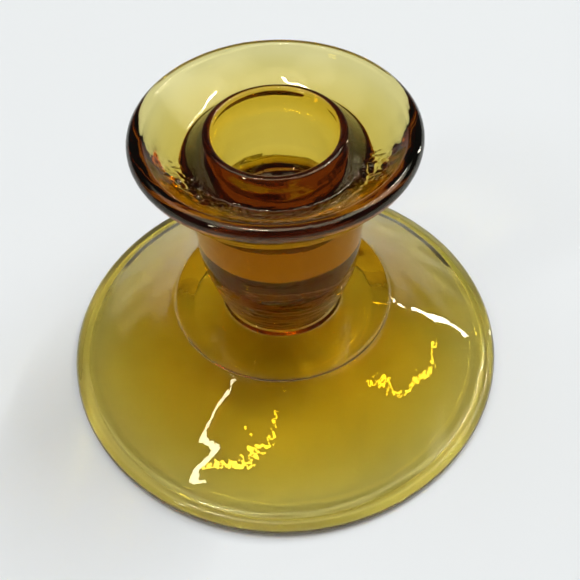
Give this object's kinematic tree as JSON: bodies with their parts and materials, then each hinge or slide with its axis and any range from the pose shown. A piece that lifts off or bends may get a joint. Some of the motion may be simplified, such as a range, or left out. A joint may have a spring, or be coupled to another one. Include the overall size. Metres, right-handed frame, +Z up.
{
  "type": "glass candlestick",
  "caption": "Low pressed-glass candlestick: a wide domed foot, a solid tapered cup with a candle socket, and a flared drip flange round the mouth.",
  "frame": {"origin": "centre of the circle that the foot rests on, on the table", "axes": "+Z up along the axis of the socket; the object is round, so +X and +Y are free"},
  "size_m": [0.102, 0.102, 0.0683],
  "materials": {
    "amber_glass": "clear fire-polished amber glass, pale in thin walls and brown where it is deep"
  },
  "bodies": {
    "root": {"foot": "amber_glass", "crown_pad": "amber_glass", "joining_wafer": "amber_glass", "candle_cup": "amber_glass", "socket_collar": "amber_glass", "drip_flange": "amber_glass"}
  },
  "joints": []
}
